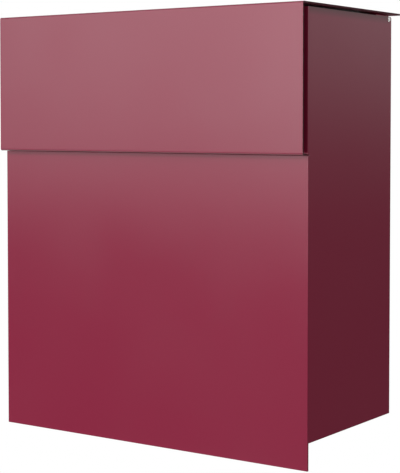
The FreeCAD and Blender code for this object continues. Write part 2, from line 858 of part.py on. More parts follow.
def make_lock_plug():
    """Turning core of the lock: key slot in front, square stub and screw hole behind."""
    body = start_body("lock_plug", "0", "0", "lock_z")
    front = "-lock_rim - plug_proud"
    rear = "cam_y - seam"
    section = [
        ("0", front),
        ("plug_radius - chamfer", front),
        ("plug_radius", f"{front} + chamfer"),
        ("plug_radius", rear),
        ("0", rear),
    ]
    turn(body, "core", section, "V_Axis")
    stub = rectangle("-plug_stub / 2", "-plug_stub / 2", "plug_stub / 2", "plug_stub / 2")
    stub_end = "cam_y + cam_plate"
    pad(body, "stub", "XZ", rear, stub_end, [stub])
    slot = rectangle("-key_slot / 2", "-key_width / 2", "key_slot / 2", "key_width / 2")
    cut(body, "key_slot", "XZ", f"{front} - past", f"{front} + key_depth", [slot])
    bore = ("0", "0", "screw_radius + run_fit")
    cut(body, "screw_bore", "XZ", f"{stub_end} - screw_length - past", f"{stub_end} + past", circles=[bore])
    name_sub_part(body, "lock_plug")


def make_lock_cam():
    """Flat tongue on the plug's stub. It points sideways when the lock is open."""
    body = start_body("lock_cam", "0", "cam_y", "lock_z")
    tongue = rectangle("-cam_heel", "-cam_width / 2", "cam_reach", "cam_width / 2")
    pad(body, "tongue", "XZ", "0", "cam_plate", [tongue])
    round_edges(body, "ends", edges_across(body.Tip, "XZ", tongue), "cam_round")
    half_hole = "(plug_stub / 2 + run_fit)"
    hole = rectangle(f"-{half_hole}", f"-{half_hole}", half_hole, half_hole)
    cut(body, "square_hole", "XZ", "-past", "cam_plate + past", [hole])
    name_sub_part(body, "lock_cam")


def make_cam_screw():
    """Screw that holds the cam on the plug."""
    body = start_body("cam_screw", "0", "cam_y + cam_plate + seam", "lock_z")
    section = [
        ("0", "-screw_length"),
        ("screw_radius", "-screw_length"),
        ("screw_radius", "0"),
        ("screw_head_radius", "0"),
        ("screw_head_radius", "screw_head - chamfer"),
        ("screw_head_radius - chamfer", "screw_head"),
        ("0", "screw_head"),
    ]
    turn(body, "screw", section, "V_Axis")
    name_sub_part(body, "cam_screw")


def check_model():
    """Stops with a message if any object failed or any sub-part is empty or broken."""
    doc.recompute()
    for item in doc.Objects:
        if {"Invalid", "Error"} & set(item.State):
            raise RuntimeError(f"{item.Name} failed: {item.State}")
    for piece in sub_parts:
        if piece.Shape.isNull() or not piece.Shape.isValid() or not piece.Shape.Solids:
            raise RuntimeError(f"{piece.Label} has no valid solid")


def write_parts():
    """Writes each sub-part to a file with its own name."""
    os.makedirs("parts", exist_ok=True)
    for piece in sub_parts:
        piece.Shape.exportStep(f"parts/{piece.Label}.step")


fill_sheet()
make_body_shell()
make_base_tray()
make_front_header()
make_header_brackets()
make_inner_roof()
make_mail_guard()
make_rivets("guard_rivets", guard_rivet_places(), "guard_rivet_y", "guard_top - sheet", "2 * sheet + seam")
make_wall_spacers()
make_lid_buffers()
make_lid_panel()
make_lid_ears()
make_pins(
    "lid_pin",
    start="ear_inner",
    deep="pin_y",
    up="pin_z",
    radius="lid_pin_radius",
    head_radius="lid_pin_head_radius",
    head="lid_pin_head",
    end="body_half - ear_inner + run_fit + lid_pin_cap",
    outward=True,
    cap=("body_half - ear_inner + run_fit", "lid_pin_cap_radius"),
)
make_door_panel()
make_door_top_rail()
make_door_stiles()
make_letter_catcher()
make_hinge_brackets()
make_rivets("hinge_rivets", hinge_rivet_places(), "rivet_y", "door_drop - seam - plate", "stack + seam")
make_door_lugs()
make_pins(
    "door_pin",
    start="hinge_place + seam",
    deep="hinge_y",
    up="hinge_z",
    radius="door_pin_radius",
    head_radius="door_pin_head_radius",
    head="door_pin_head",
    end="hinge_place + seam - lug_outer + plate + door_pin_end",
    outward=False,
)
make_lock_housing()
make_lock_nut()
make_lock_plug()
make_lock_cam()
make_cam_screw()
check_model()
write_parts()
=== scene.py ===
"""Wall mounted post box: finishes for the folded case, lid, door and cam lock, and the studio round it."""

import logging
import math
from collections.abc import Sequence
from dataclasses import dataclass, field
from enum import Enum

import bmesh
import bpy
from mathutils import Euler, Matrix, Vector


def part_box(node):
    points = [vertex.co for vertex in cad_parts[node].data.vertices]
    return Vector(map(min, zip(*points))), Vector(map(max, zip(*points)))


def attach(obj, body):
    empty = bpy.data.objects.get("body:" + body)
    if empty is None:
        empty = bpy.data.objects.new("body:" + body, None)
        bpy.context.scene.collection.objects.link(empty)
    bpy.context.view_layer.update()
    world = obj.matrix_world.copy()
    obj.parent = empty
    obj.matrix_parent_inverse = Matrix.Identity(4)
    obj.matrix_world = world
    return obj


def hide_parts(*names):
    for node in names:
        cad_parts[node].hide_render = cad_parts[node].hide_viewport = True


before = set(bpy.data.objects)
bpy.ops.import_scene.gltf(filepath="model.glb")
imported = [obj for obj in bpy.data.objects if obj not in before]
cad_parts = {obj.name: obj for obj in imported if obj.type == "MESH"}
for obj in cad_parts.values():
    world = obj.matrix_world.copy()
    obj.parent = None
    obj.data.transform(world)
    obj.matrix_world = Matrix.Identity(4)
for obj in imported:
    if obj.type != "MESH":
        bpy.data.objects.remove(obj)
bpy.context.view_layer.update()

LOG = logging.getLogger("post_box")
MM = 0.001
MERGE_GAP = 0.0005 * MM
SPUN_GAP = 0.001 * MM
FLAT_ANGLE = math.radians(0.5)
SHARP_ANGLE = math.radians(50)
SMOOTH_ANGLE = math.radians(35)
VOLUME_SLACK = 0.04
SATIN = 0.24
UP = Vector((0, 0, 1))
INWARDS = Vector((0, 1, 0))
WHITE = (1.0, 1.0, 1.0, 1.0)

Colour = tuple[float, float, float]
Source = bpy.types.NodeSocket | float | tuple[float, ...]
Inputs = dict[str | int, Source]


class Body(Enum):
    """The bodies that a piece can ride on."""

    CASE = "case"
    LID = "lid"
    DOOR = "door"
    LOCK = "lock"


class Slot(Enum):
    """The record's material slots."""

    PAINT = "red_paint"
    STEEL = "bright_steel"
    CHROME = "lock_chrome"
    PLASTIC = "spacer_plastic"
    RUBBER = "buffer_rubber"


class Reach(Enum):
    """What a lamp lights: only the sheen of a surface or only its paint."""

    SHEEN = "sheen"
    PAINT = "paint"


class Carve(Enum):
    """How one shape works on another."""

    TAKE_AWAY = "DIFFERENCE"
    KEEP_SHARED = "INTERSECT"


# Shader wiring


class Wiring:
    """Adds, sets and joins the nodes of one shader tree."""

    def __init__(self, tree: bpy.types.NodeTree) -> None:
        """Works on the given tree.

        Args:
            tree: the node tree of a material, a world or a group.
        """
        self.tree = tree

    def feed(self, node: bpy.types.Node, inputs: Inputs) -> None:
        """Links or sets some inputs of a node.

        Args:
            node: the node.
            inputs: input name or index, with a socket to link or a value to set.
        """
        for key, source in inputs.items():
            if isinstance(source, bpy.types.NodeSocket):
                self.tree.links.new(source, node.inputs[key])
            else:
                node.inputs[key].default_value = source

    def add(self, kind: str, inputs: Inputs | None = None, **settings: object) -> bpy.types.Node:
        """Adds one node, sets its properties and feeds its inputs.

        Args:
            kind: the node's type name.
            inputs: input name or index, with a socket to link or a value to set.
            settings: properties of the node.

        Returns:
            The node.
        """
        node = self.tree.nodes.new(kind)
        for name, setting in settings.items():
            setattr(node, name, setting)
        self.feed(node, inputs or {})
        return node

    def math(self, operation: str, *terms: Source, clamp: bool = False) -> bpy.types.NodeSocket:
        """Adds a scalar sum.

        Args:
            operation: the name of the sum, such as MULTIPLY.
            terms: sockets or numbers.
            clamp: whether the result is held between 0 and 1.

        Returns:
            The result's socket.
        """
        node = self.add("ShaderNodeMath", dict(enumerate(terms)), operation=operation, use_clamp=clamp)
        return node.outputs[0]

    def vector(self, operation: str, *terms: Source, output: str = "Vector") -> bpy.types.NodeSocket:
        """Adds a vector sum.

        Args:
            operation: the name of the sum, such as DOT_PRODUCT.
            terms: sockets, or vectors as tuples.
            output: which of the node's outputs to use.

        Returns:
            The result's socket.
        """
        node = self.add("ShaderNodeVectorMath", dict(enumerate(terms)), operation=operation)
        return node.outputs[output]

    def blend(self, share: Source, first: Source, second: Source) -> bpy.types.NodeSocket:
        """Mixes two colours.

        Args:
            share: how much of the second colour shows.
            first: socket or linear colour.
            second: socket or linear colour.

        Returns:
            The mixed colour's socket.
        """
        colours = [(*c, 1.0) if isinstance(c, tuple) else c for c in (first, second)]
        node = self.add("ShaderNodeMix", {0: share, 6: colours[0], 7: colours[1]}, data_type="RGBA")
        return node.outputs[2]

    def spread(
        self, source: Source, low: Source, high: Source, start: Source = 0.0, end: Source = 1.0
    ) -> bpy.types.NodeSocket:
        """Maps a range of values onto another.

        Args:
            source: the socket to map.
            low: the result at the start of the range.
            high: the result at its end.
            start: where the range starts.
            end: where it ends.

        Returns:
            The mapped value's socket.
        """
        node = self.add("ShaderNodeMapRange", {0: source, 1: start, 2: end, 3: low, 4: high})
        return node.outputs[0]

    def noise(self, place: bpy.types.NodeSocket, scale: Source, detail: float) -> bpy.types.NodeSocket:
        """Adds a soft noise.

        Args:
            place: the socket of a place on the object.
            scale: how fine the noise is.
            detail: how many finer layers it has.

        Returns:
            The noise's socket.
        """
        inputs = {"Vector": place, "Scale": scale, "Detail": detail}
        return self.add("ShaderNodeTexNoise", inputs).outputs[0]

    def bump(self, height: bpy.types.NodeSocket, depth: float, strength: float = 1.0) -> bpy.types.NodeSocket:
        """Turns a height into a normal.

        Args:
            height: the height's socket.
            depth: how deep a height of 1 is, in millimetres.
            strength: how much of it shows.

        Returns:
            The normal's socket.
        """
        inputs = {"Strength": strength, "Distance": depth * MM, "Height": height}
        return self.add("ShaderNodeBump", inputs).outputs[0]

    def mirrored(self, place: bpy.types.NodeSocket) -> tuple[bpy.types.NodeSocket, bpy.types.NodeSocket]:
        """Folds the left half of space onto the right half.

        Args:
            place: the socket of a place on the object.

        Returns:
            The sockets of the folded place and of its distance from the middle.
        """
        sides = self.add("ShaderNodeSeparateXYZ", {0: place}).outputs
        across = self.math("ABSOLUTE", sides[0])
        return self.add("ShaderNodeCombineXYZ", {0: across, 1: sides[1], 2: sides[2]}).outputs[0], across

    def group(self, tree: bpy.types.NodeTree, inputs: Inputs) -> bpy.types.bpy_prop_collection:
        """Places a shared effect with its own values.

        Args:
            tree: the shared effect.
            inputs: input name, with a socket or a value.

        Returns:
            The effect's outputs by name.
        """
        return self.add("ShaderNodeGroup", inputs, node_tree=tree).outputs


class Effects:
    """The surface effects that several finishes share, each built once as a shader group."""

    PORE_FINENESS = 3.1
    PORE_SHARE = 0.25
    CLOUD_SCALE = 14.0
    EDGE_GAIN = 6.0

    def __init__(self) -> None:
        """Builds every effect."""
        self.powder_grain = self._powder_grain()
        self.tone_drift = self._tone_drift()
        self.edge_wear_and_shade = self._edge_film()
        self.spot_welds = self._spot_welds()
        self.shade_band = self._band()
        self.hairlines = self._hairlines()

    @staticmethod
    def _start(
        name: str, inputs: dict[str, tuple[str, Source | None]], outputs: dict[str, str]
    ) -> tuple[bpy.types.NodeTree, Wiring, bpy.types.bpy_prop_collection, bpy.types.Node]:
        """Opens a group with named sockets.

        Args:
            name: the group's name.
            inputs: input name, with its kind and its value to begin with.
            outputs: output name, with its kind.

        Returns:
            The group, its wiring, its input sockets by name and its output node.
        """
        tree = bpy.data.node_groups.new(name, "ShaderNodeTree")
        new_socket = tree.interface.new_socket
        for title, (kind, value) in inputs.items():
            socket = new_socket(name=title, in_out="INPUT", socket_type=f"NodeSocket{kind}")
            if value is not None:
                socket.default_value = value
        for title, kind in outputs.items():
            new_socket(name=title, in_out="OUTPUT", socket_type=f"NodeSocket{kind}")
        wiring = Wiring(tree)
        given = wiring.add("NodeGroupInput").outputs
        return tree, wiring, given, wiring.add("NodeGroupOutput")

    def _powder_grain(self) -> bpy.types.NodeTree:
        """The soft ripple that powder leaves when it melts and flows.

        Returns:
            A group with the ripple's height and a slow change of gloss.
        """
        tree, wiring, given, result = self._start(
            "powder_grain",
            {"Vector": ("Vector", None), "Scale": ("Float", 600.0)},
            {"Height": "Float", "Gloss": "Float"},
        )
        ripple = wiring.noise(given["Vector"], given["Scale"], 1.5)
        pore_scale = wiring.math("MULTIPLY", given["Scale"], self.PORE_FINENESS)
        pores = wiring.noise(given["Vector"], pore_scale, 1.0)
        height = wiring.math("ADD", ripple, wiring.math("MULTIPLY", pores, self.PORE_SHARE))
        cloud = wiring.noise(given["Vector"], self.CLOUD_SCALE, 2.0)
        wiring.feed(result, {"Height": height, "Gloss": cloud})
        return tree

    def _tone_drift(self) -> bpy.types.NodeTree:
        """The slow change of tone across a coated or plated surface.

        Returns:
            A group with a mask from 0 to 1.
        """
        tree, wiring, given, result = self._start(
            "tone_drift",
            {"Vector": ("Vector", None), "Scale": ("Float", 8.0), "Contrast": ("Float", 1.0)},
            {"Mask": "Float"},
        )
        cloud = wiring.noise(given["Vector"], given["Scale"], 3.0)
        centred = wiring.math("SUBTRACT", cloud, 0.5)
        scaled = wiring.math("MULTIPLY_ADD", centred, given["Contrast"], 0.5, clamp=True)
        wiring.feed(result, {"Mask": scaled})
        return tree

    def _edge_film(self) -> bpy.types.NodeTree:
        """Where a surface changes along its edges and creases: rubbed wear on bare metal and plastic, painted
        edge shade on the powder coat.

        Returns:
            A group with a mask that rises near edges, broken up by a fine pattern.
        """
        tree, wiring, given, result = self._start(
            "edge_wear_and_shade",
            {"Vector": ("Vector", None), "Radius": ("Float", 0.0005), "Breaks": ("Float", 300.0)},
            {"Mask": "Float"},
        )
        rounded = wiring.add("ShaderNodeBevel", {"Radius": given["Radius"]}, samples=4)
        true = wiring.add("ShaderNodeNewGeometry").outputs["Normal"]
        agree = wiring.vector("DOT_PRODUCT", rounded.outputs[0], true, output="Value")
        near = wiring.math("MULTIPLY", wiring.math("SUBTRACT", 1.0, agree), self.EDGE_GAIN, clamp=True)
        breaks = wiring.noise(given["Vector"], given["Breaks"], 2.0)
        broken = wiring.spread(breaks, 0.4, 1.0, 0.35, 0.65)
        wiring.feed(result, {"Mask": wiring.math("MULTIPLY", near, broken, clamp=True)})
        return tree

    def _spot_welds(self) -> bpy.types.NodeTree:
        """A straight row of shallow spot weld marks, the same on the left and on the right.

        Returns:
            A group with a mask of the marks' hollows and one of their rims.
        """
        tree, wiring, given, result = self._start(
            "spot_welds",
            {
                "Vector": ("Vector", None),
                "First": ("Vector", (0.0, 0.0, 0.0)),
                "Step": ("Vector", (0.0, 0.0, 0.04)),
                "Last": ("Float", 4.0),
                "Radius": ("Float", 0.0022),
            },
            {"Hollow": "Float", "Rim": "Float"},
        )
        folded, _ = wiring.mirrored(given["Vector"])
        away = wiring.vector("SUBTRACT", folded, given["First"])
        along = wiring.vector("DOT_PRODUCT", away, given["Step"], output="Value")
        stride = wiring.vector("DOT_PRODUCT", given["Step"], given["Step"], output="Value")
        turn = wiring.math("ROUND", wiring.math("DIVIDE", along, stride))
        held = wiring.math("MAXIMUM", wiring.math("MINIMUM", turn, given["Last"]), 0.0)
        spot = wiring.add("ShaderNodeVectorMath", {0: given["Step"], "Scale": held}, operation="SCALE")
        gap = wiring.vector("DISTANCE", away, spot.outputs[0], output="Value")
        share = wiring.math("DIVIDE", gap, given["Radius"])
        hollow = wiring.spread(share, 1.0, 0.0, 0.7, 1.0)
        inner, outer = wiring.spread(share, 0.0, 1.0, 0.75, 1.0), wiring.spread(share, 1.0, 0.0, 1.0, 1.3)
        wiring.feed(result, {"Hollow": hollow, "Rim": wiring.math("MULTIPLY", inner, outer)})
        return tree

    def _band(self) -> bpy.types.NodeTree:
        """A soft edged stretch of painted shade on a surface, the same on the left and on the right.

        Returns:
            A group with a mask that rises along one direction, past a distance from the middle.
        """
        tree, wiring, given, result = self._start(
            "shade_band",
            {
                "Vector": ("Vector", None),
                "Along": ("Vector", (0.0, 0.0, 1.0)),
                "Start": ("Float", 0.0),
                "End": ("Float", 0.001),
                "Beyond": ("Float", 0.0),
            },
            {"Mask": "Float"},
        )
        folded, across = wiring.mirrored(given["Vector"])
        reached = wiring.vector("DOT_PRODUCT", folded, given["Along"], output="Value")
        rise = wiring.spread(reached, 0.0, 1.0, given["Start"], given["End"])
        outside = wiring.math("GREATER_THAN", across, given["Beyond"])
        wiring.feed(result, {"Mask": wiring.math("MULTIPLY", rise, outside)})
        return tree

    def _hairlines(self) -> bpy.types.NodeTree:
        """Fine turning or handling lines on bare metal.

        Returns:
            A group with the lines' height and a mask for their gloss.
        """
        tree, wiring, given, result = self._start(
            "hairlines",
            {"Vector": ("Vector", None), "Stretch": ("Vector", (4000.0, 200.0, 4000.0))},
            {"Height": "Float", "Mask": "Float"},
        )
        drawn = wiring.add("ShaderNodeMapping", {"Vector": given["Vector"], "Scale": given["Stretch"]})
        lines = wiring.noise(drawn.outputs[0], 1.0, 2.0)
        wiring.feed(result, {"Height": lines, "Mask": wiring.spread(lines, 0.0, 1.0, 0.4, 0.7)})
        return tree


# Finishes


@dataclass(frozen=True)
class WeldRow:
    """A row of spot weld marks on an inner flange, in millimetres of the shared frame.

    Attributes:
        first: the place of the first mark on the right half.
        step: the way from one mark to the next.
        last: how many marks follow the first.
    """

    first: tuple[float, float, float]
    step: tuple[float, float, float]
    last: int

    def inputs(self) -> Inputs:
        """The values that place the row in the shared effect, in metres."""
        first, step = (tuple(MM * side for side in sides) for sides in (self.first, self.step))
        return {"First": first, "Step": step, "Last": float(self.last)}


@dataclass(frozen=True)
class ShadeBand:
    """A stretch of a finish painted darker and duller as painted shade, in millimetres of the shared frame.

    Attributes:
        along: the direction in which the tone sets in.
        start: where it begins to show.
        end: from where on it shows in full.
        beyond: how far from the middle of the box it begins.
        colour: its tone of painted shade.
        roughness: its roughness.
    """

    along: tuple[float, float, float]
    start: float
    end: float
    beyond: float
    colour: Colour
    roughness: float = SATIN

    def inputs(self) -> Inputs:
        """The values that place the stretch in the shared effect, in metres."""
        start, end, beyond = (MM * distance for distance in (self.start, self.end, self.beyond))
        return {"Along": self.along, "Start": start, "End": end, "Beyond": beyond}


@dataclass(frozen=True)
class Finish:
    """What every finish has: a name, and the shader that its material starts from."""

    name: str

    def begin(
        self, fixed: Inputs
    ) -> tuple[Wiring, bpy.types.Node, bpy.types.NodeSocket, bpy.types.Material]:
        """Opens the material.

        Args:
            fixed: the values that are the same all over, set on the shader's own sockets.

        Returns:
            The wiring, the shader node, the place on the object and the material.
        """
        material = bpy.data.materials.new(self.name)
        material.use_nodes = True
        material.node_tree.nodes.clear()
        wiring = Wiring(material.node_tree)
        shader = wiring.add("ShaderNodeBsdfPrincipled", fixed)
        wiring.add("ShaderNodeOutputMaterial", {"Surface": shader.outputs[0]})
        place = wiring.add("ShaderNodeTexCoord").outputs["Object"]
        return wiring, shader, place, material

    def build(self, effects: Effects) -> bpy.types.Material:
        """Makes the material.

        Args:
            effects: the shared effects.

        Returns:
            The material.
        """
        raise NotImplementedError


@dataclass(frozen=True)
class PowderCoat(Finish):
    """Satin powder coat on folded sheet, with painted shade along its edges and creases and in its shade
    stretches; ripple is a depth in millimetres.
    """

    colour: Colour = (0.286, 0.0185, 0.0555)
    deep: Colour = (0.274, 0.0177, 0.0527)
    # edge: painted shade, a dark tone that the coat takes on along its edges and creases
    edge: Colour = (0.085, 0.016, 0.026)
    roughness: float = SATIN
    gloss_sway: float = 0.02
    edge_share: float = 0.7
    ripple: float = 0.004
    welds: WeldRow | None = None
    weld_depth: float = 3.0
    weld_height: float = 18.0
    weld_share: float = 0.35
    shade_bands: tuple[ShadeBand, ...] = ()

    def build(self, effects: Effects) -> bpy.types.Material:
        """Makes the material.

        Args:
            effects: the shared effects.

        Returns:
            The material.
        """
        wiring, shader, place, material = self.begin({"IOR": 1.5, "Specular IOR Level": 0.5})
        grain = wiring.group(effects.powder_grain, {"Vector": place, "Scale": 620.0})
        drift = wiring.group(effects.tone_drift, {"Vector": place, "Scale": 7.0, "Contrast": 1.4})
        edge = wiring.group(effects.edge_wear_and_shade, {"Vector": place, "Radius": 0.4 * MM, "Breaks": 350.0})
        tone = wiring.blend(drift["Mask"], self.colour, self.deep)
        # Painted shade: the coat darkens along its edges and creases.
        tone = wiring.blend(wiring.math("MULTIPLY", edge["Mask"], self.edge_share), tone, self.edge)
        least, most = self.roughness - self.gloss_sway, self.roughness + self.gloss_sway
        rough = wiring.spread(grain["Gloss"], least, most, 0.3, 0.7)
        # Painted shade: each stretch darkens and dulls the coat where shade falls.
        for shade_band in self.shade_bands:
            stretch = wiring.group(effects.shade_band, {"Vector": place, **shade_band.inputs()})
            tone = wiring.blend(stretch["Mask"], tone, shade_band.colour)
            rough = wiring.spread(stretch["Mask"], rough, shade_band.roughness)
        height = grain["Height"]
        if self.welds:
            marks = wiring.group(effects.spot_welds, {"Vector": place, **self.welds.inputs()})
            rise = wiring.math(
                "SUBTRACT", marks["Rim"], wiring.math("MULTIPLY", marks["Hollow"], self.weld_depth)
            )
            height = wiring.math("ADD", height, wiring.math("MULTIPLY", rise, self.weld_height))
            tone = wiring.blend(wiring.math("MULTIPLY", marks["Rim"], self.weld_share), tone, self.deep)
        normal = wiring.bump(height, self.ripple)
        wiring.feed(shader, {"Base Color": tone, "Roughness": rough, "Normal": normal})
        return material


@dataclass(frozen=True)
class BareMetal(Finish):
    """Plated or polished metal of pins, rivets, screws and the lock; groove is a depth in millimetres."""

    colour: Colour = (0.60, 0.59, 0.57)
    shade: Colour = (0.50, 0.50, 0.50)
    roughness: float = 0.30
    wear: float = 0.10
    stretch: tuple[float, float, float] = (900.0, 5000.0, 5000.0)
    edge_share: float = 0.5
    groove: float = 0.002
    groove_share: float = 0.6

    def build(self, effects: Effects) -> bpy.types.Material:
        """Makes the material.

        Args:
            effects: the shared effects.

        Returns:
            The material.
        """
        wiring, shader, place, material = self.begin({"Metallic": 1.0})
        drift = wiring.group(effects.tone_drift, {"Vector": place, "Scale": 160.0, "Contrast": 1.8})
        lines = wiring.group(effects.hairlines, {"Vector": place, "Stretch": self.stretch})
        edge = wiring.group(effects.edge_wear_and_shade, {"Vector": place, "Radius": 0.25 * MM, "Breaks": 900.0})
        tone = wiring.blend(drift["Mask"], self.colour, self.shade)
        tone = wiring.blend(wiring.math("MULTIPLY", edge["Mask"], self.edge_share), tone, self.colour)
        rough = wiring.spread(lines["Mask"], self.roughness, self.roughness + self.wear)
        normal = wiring.bump(lines["Height"], self.groove, self.groove_share)
        wiring.feed(shader, {"Base Color": tone, "Roughness": rough, "Normal": normal})
        return material


@dataclass(frozen=True)
class Moulded(Finish):
    """Moulded plastic or rubber with a fine matt skin; depth is the skin's, in millimetres."""

    colour: Colour = (0.030, 0.030, 0.032)
    bloom: Colour = (0.060, 0.060, 0.062)
    roughness: float = 0.5
    skin: float = 2200.0
    depth: float = 0.012
    gloss_sway: float = 0.06
    bloom_share: float = 0.3
    edge_share: float = 0.6

    def build(self, effects: Effects) -> bpy.types.Material:
        """Makes the material.

        Args:
            effects: the shared effects.

        Returns:
            The material.
        """
        wiring, shader, place, material = self.begin({"Specular IOR Level": 0.4})
        grain = wiring.group(effects.powder_grain, {"Vector": place, "Scale": self.skin})
        drift = wiring.group(effects.tone_drift, {"Vector": place, "Scale": 60.0, "Contrast": 1.5})
        edge = wiring.group(effects.edge_wear_and_shade, {"Vector": place, "Radius": 0.4 * MM, "Breaks": 600.0})
        tone = wiring.blend(wiring.math("MULTIPLY", drift["Mask"], self.bloom_share), self.colour, self.bloom)
        tone = wiring.blend(wiring.math("MULTIPLY", edge["Mask"], self.edge_share), tone, self.bloom)
        least, most = self.roughness - self.gloss_sway, self.roughness + self.gloss_sway
        rough = wiring.spread(grain["Height"], least, most, 0.3, 0.9)
        normal = wiring.bump(grain["Height"], self.depth)
        wiring.feed(shader, {"Base Color": tone, "Roughness": rough, "Normal": normal})
        return material


class Workshop:
    """Builds each finish once and hands it out."""

    def __init__(self) -> None:
        """Builds the shared effects and opens an empty shelf."""
        self.effects = Effects()
        self.shelf: dict[Finish, bpy.types.Material] = {}

    def coat(self, finish: Finish) -> bpy.types.Material:
        """Gives the material of a finish.

        Args:
            finish: the finish that a piece has.

        Returns:
            Its material.
        """
        if finish not in self.shelf:
            self.shelf[finish] = finish.build(self.effects)
        return self.shelf[finish]


PAINT = PowderCoat("red_powder_coat")
STEEL = BareMetal("zinc_plated_steel")
CHROME = BareMetal(
    "polished_chrome",
    colour=(0.70, 0.70, 0.70),
    shade=(0.62, 0.62, 0.63),
    roughness=0.09,
    wear=0.08,
    stretch=(3000.0, 500.0, 3000.0),
)
PIN_STEEL = BareMetal(
    "turned_steel", colour=(0.80, 0.77, 0.76), shade=(0.72, 0.69, 0.68), roughness=0.12, wear=0.05
)
PLASTIC = Moulded("spacer_plastic")
RUBBER = Moulded(
    "buffer_rubber",
    colour=(0.025, 0.025, 0.026),
    bloom=(0.05, 0.05, 0.05),
    roughness=0.75,
    skin=3000.0,
    depth=0.008,
)


# Mesh work


def spun(
    profile: Sequence[tuple[float, float]], centre: Vector, axis: Vector, steps: int, closed: bool = False
) -> bmesh.types.BMesh:
    """Spins a half section about an axis.

    Args:
        profile: radius and place along the axis of each corner, in millimetres.
        centre: a point on the axis, in metres.
        axis: the axis's direction.
        steps: how many faces go round.
        closed: whether the last corner joins the first.

    Returns:
        The turned shape.
    """
    shape = bmesh.new()
    out = axis.orthogonal().normalized()
    corners = [shape.verts.new(centre + MM * (r * out + a * axis)) for r, a in profile]
    pairs = list(zip(corners, corners[1:]))
    if closed:
        pairs.append((corners[-1], corners[0]))
    edges = [shape.edges.new(pair) for pair in pairs]
    bmesh.ops.spin(
        shape,
        geom=corners + edges,
        cent=centre,
        axis=axis,
        angle=math.tau,
        steps=steps,
        use_merge=True,
        use_duplicate=False,
    )
    bmesh.ops.remove_doubles(shape, verts=shape.verts, dist=SPUN_GAP)
    bmesh.ops.recalc_face_normals(shape, faces=shape.faces)
    settle_order(shape)
    return shape


def settle_order(shape: bmesh.types.BMesh) -> None:
    """Puts a shape's edges and faces in the order of their corners, which a spin leaves to chance.

    Args:
        shape: the shape.
    """
    shape.verts.index_update()
    for items in (shape.edges, shape.faces):
        ranked = sorted(items, key=lambda item: sorted(vert.index for vert in item.verts))
        places = {item: place for place, item in enumerate(ranked)}
        items.sort(key=places.get)


def round_edges(shape: bmesh.types.BMesh, edges: Sequence[bmesh.types.BMEdge], width: float) -> None:
    """Rounds some edges of a shape.

    Args:
        shape: the shape.
        edges: the edges to round.
        width: the rounding, in metres.
    """
    bmesh.ops.bevel(
        shape,
        geom=edges,
        offset=width,
        segments=2,
        profile=0.5,
        affect="EDGES",
        clamp_overlap=True,
        material=-1,
    )


def block(low: Vector, high: Vector, bevel: float) -> bmesh.types.BMesh:
    """A block with rounded edges.

    Args:
        low: its lowest corner, in metres.
        high: its highest corner, in metres.
        bevel: the rounding, in metres.

    Returns:
        The block.
    """
    shape = bmesh.new()
    size = high - low
    matrix = Matrix.Translation((low + high) / 2) @ Matrix.Diagonal((*size, 1.0))
    bmesh.ops.create_cube(shape, size=1.0, matrix=matrix)
    round_edges(shape, shape.edges[:], bevel)
    return shape


def joined(shapes: Sequence[bmesh.types.BMesh]) -> bmesh.types.BMesh:
    """Puts several shapes in one mesh.

    Args:
        shapes: the shapes, which are used up.

    Returns:
        One shape that holds them all.
    """
    whole = bmesh.new()
    for shape in shapes:
        passing = bpy.data.meshes.new("passing")
        shape.to_mesh(passing)
        shape.free()
        whole.from_mesh(passing)
        bpy.data.meshes.remove(passing)
    return whole


def carved(stock: bmesh.types.BMesh, tool: bmesh.types.BMesh, how: Carve) -> bmesh.types.BMesh:
    """Works one closed shape with another.

    Args:
        stock: the shape that is worked on, which is used up.
        tool: the shape that works on it, which is used up.
        how: whether the tool's space is taken away or kept.

    Returns:
        The result.
    """
    objects = []
    for title, shape in (("stock", stock), ("tool", tool)):
        mesh = bpy.data.meshes.new(title)
        shape.to_mesh(mesh)
        shape.free()
        objects.append(bpy.data.objects.new(title, mesh))
        bpy.context.scene.collection.objects.link(objects[-1])
    step = objects[0].modifiers.new("carve", "BOOLEAN")
    step.object, step.operation, step.solver = objects[1], how.value, "EXACT"
    graph = bpy.context.evaluated_depsgraph_get()
    result = bmesh.new()
    result.from_mesh(objects[0].evaluated_get(graph).to_mesh())
    for item in objects:
        mesh = item.data
        bpy.data.objects.remove(item)
        bpy.data.meshes.remove(mesh)
    return result


def softened(node: str, width: float) -> bmesh.types.BMesh | None:
    """A copy of a CAD node with its sharp edges rounded, as a coat rounds them.

    Args:
        node: the node's name.
        width: the rounding, in metres.

    Returns:
        The rounded copy, or None where the rounding would open or bend the shape.
    """
    shape = bmesh.new()
    shape.from_mesh(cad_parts[node].data)
    bmesh.ops.remove_doubles(shape, verts=shape.verts, dist=MERGE_GAP)
    before = shape.calc_volume()
    bmesh.ops.dissolve_limit(shape, angle_limit=FLAT_ANGLE, verts=shape.verts, edges=shape.edges)
    pairs = [edge for edge in shape.edges if len(edge.link_faces) == 2]
    round_edges(shape, [edge for edge in pairs if edge.calc_face_angle() > SHARP_ANGLE], width)
    bmesh.ops.remove_doubles(shape, verts=shape.verts, dist=MERGE_GAP)
    whole = all(edge.is_manifold for edge in shape.edges)
    if whole and abs(shape.calc_volume() / before - 1) < VOLUME_SLACK:
        return shape
    LOG.info("%s keeps its own mesh: closed %s, volume %.4f", node, whole, shape.calc_volume() / before)
    shape.free()
    return None


